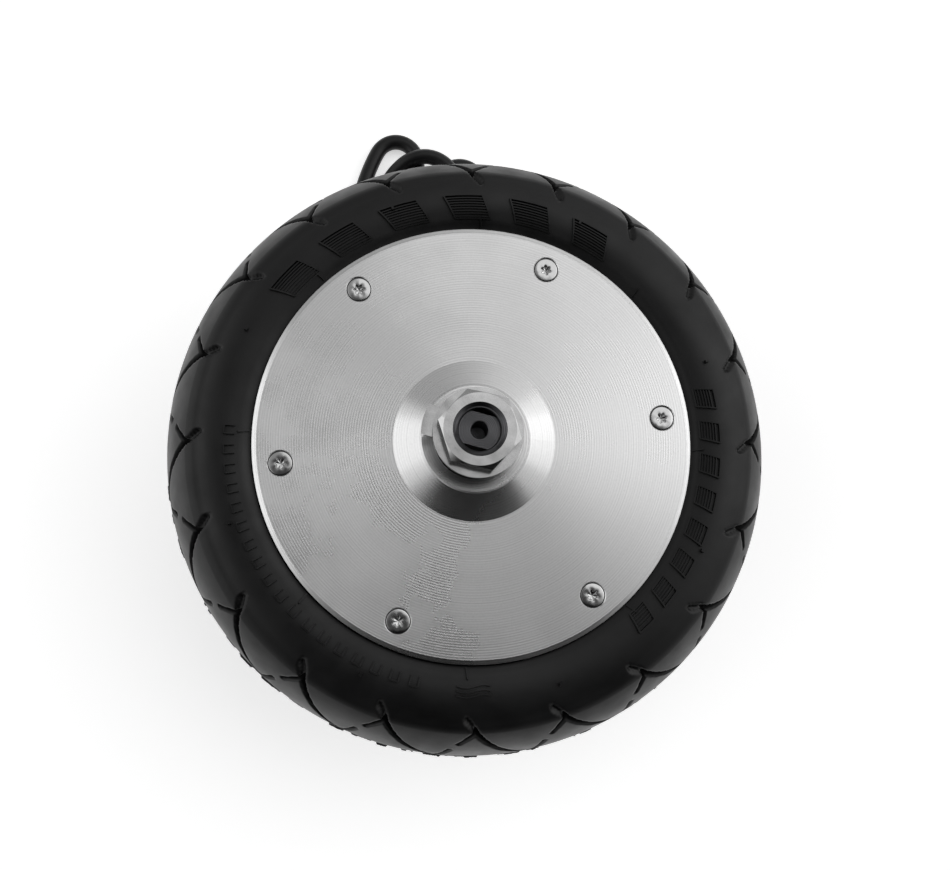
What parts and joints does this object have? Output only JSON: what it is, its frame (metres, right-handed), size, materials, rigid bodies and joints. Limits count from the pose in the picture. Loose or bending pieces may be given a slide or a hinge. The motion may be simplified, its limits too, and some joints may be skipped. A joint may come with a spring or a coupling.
{
  "type": "hub motor wheel",
  "caption": "Brushless direct-drive hub motor with a solid rubber tyre, machined covers, a threaded fixed axle with flats, tab washer, flange nuts and a motor cable.",
  "frame": {"origin": "wheel centre: on the axle's axis, in the middle plane of the tyre", "axes": "+Z along the axle, out of the front cover, away from the cable side; +X and +Y in the wheel's plane, the cable's hank lies towards +Y"},
  "size_m": [0.1999, 0.2363, 0.11],
  "materials": {
    "tread_rubber": "matte",
    "black_rubber": "matte",
    "turned_aluminium": "satin",
    "cast_aluminium": "matte",
    "steel": "satin",
    "axle_steel": "satin",
    "bearing_steel": "gloss",
    "zinc_steel": "gloss",
    "lamination_steel": "matte",
    "magnet": "satin",
    "copper": "gloss",
    "insulator_plastic": "matte",
    "circuit_board": "satin",
    "wire_insulation": "satin",
    "black_plastic": "matte",
    "cable_jacket": "satin",
    "tie_nylon": "satin",
    "brass_pin": "gloss",
    "gasket_paper": "matte"
  },
  "bodies": {
    "stator": {"axle": "axle_steel", "axle_circlips": "bearing_steel", "stator_carrier": "cast_aluminium", "carrier_key": "steel", "stator_core": "lamination_steel", "front_slot_insulator": "insulator_plastic", "rear_slot_insulator": "insulator_plastic", "phase_a_windings": "copper", "phase_b_windings": "copper", "phase_c_windings": "copper", "hall_board": "circuit_board", "hall_sensors": "black_plastic", "phase_leads": "wire_insulation", "internal_harness": "cable_jacket", "front_bearing_inner_race": "bearing_steel", "rear_bearing_inner_race": "bearing_steel", "cable_grommet": "black_rubber", "cable_lead": "cable_jacket", "cable_tail": "cable_jacket", "cable_hank": "cable_jacket", "cable_tie": "tie_nylon", "connector_body": "black_plastic", "connector_pins": "brass_pin"},
    "rotor": {"tyre": "tread_rubber", "rim": "steel", "flux_ring": "steel", "magnets_north": "magnet", "magnets_south": "magnet", "front_cover": "turned_aluminium", "rear_cover": "turned_aluminium", "front_cover_screws": "zinc_steel", "rear_cover_screws": "zinc_steel", "front_gasket": "gasket_paper", "rear_gasket": "gasket_paper", "front_bearing_outer_race": "bearing_steel", "rear_bearing_outer_race": "bearing_steel", "front_bearing_shields": "steel", "rear_bearing_shields": "steel", "front_shaft_seal": "black_rubber", "rear_shaft_seal": "black_rubber", "wave_washer": "bearing_steel", "bearing_shim": "bearing_steel"},
    "front_ball_set": {"front_bearing_balls": "bearing_steel", "front_bearing_cage": "steel"},
    "rear_ball_set": {"rear_bearing_balls": "bearing_steel", "rear_bearing_cage": "steel"},
    "front_washer": {"front_tab_washer": "zinc_steel"},
    "front_nut": {"front_nut": "zinc_steel"},
    "rear_washer": {"rear_washer": "zinc_steel"},
    "rear_nut": {"rear_nut": "zinc_steel"}
  },
  "joints": [
    {"name": "rotor_spin", "type": "hinge", "parent": "stator", "child": "rotor", "pos_m": [0, 0, 0], "axis": [0, 0, 1], "continuous": true},
    {"name": "front_ball_spin", "type": "hinge", "parent": "stator", "child": "front_ball_set", "pos_m": [0, 0, 0.0215], "axis": [0, 0, 1], "continuous": true},
    {"name": "rear_ball_spin", "type": "hinge", "parent": "stator", "child": "rear_ball_set", "pos_m": [0, 0, -0.0215], "axis": [0, 0, 1], "continuous": true},
    {"name": "front_washer_slide", "type": "slide", "parent": "stator", "child": "front_washer", "axis": [0, 0, 1], "range_m": [-0.0038, 0]},
    {"name": "front_nut_turn", "type": "hinge", "parent": "front_washer", "child": "front_nut", "pos_m": [0, 0, 0.0455], "axis": [0, 0, 1], "range_deg": [-900, 0]},
    {"name": "rear_washer_slide", "type": "slide", "parent": "stator", "child": "rear_washer", "axis": [0, 0, 1], "range_m": [-0.0046, 0]},
    {"name": "rear_nut_turn", "type": "hinge", "parent": "rear_washer", "child": "rear_nut", "pos_m": [0, 0, -0.0495], "axis": [0, 0, 1], "range_deg": [-1080, 0]}
  ],
  "couplings": [
    {"joint": "front_ball_spin", "follows": "rotor_spin", "ratio": 0.59},
    {"joint": "rear_ball_spin", "follows": "rotor_spin", "ratio": 0.59},
    {"joint": "front_washer_slide", "follows": "front_nut_turn", "m_per_rad": 0.00023873},
    {"joint": "rear_washer_slide", "follows": "rear_nut_turn", "m_per_rad": 0.00023873}
  ]
}
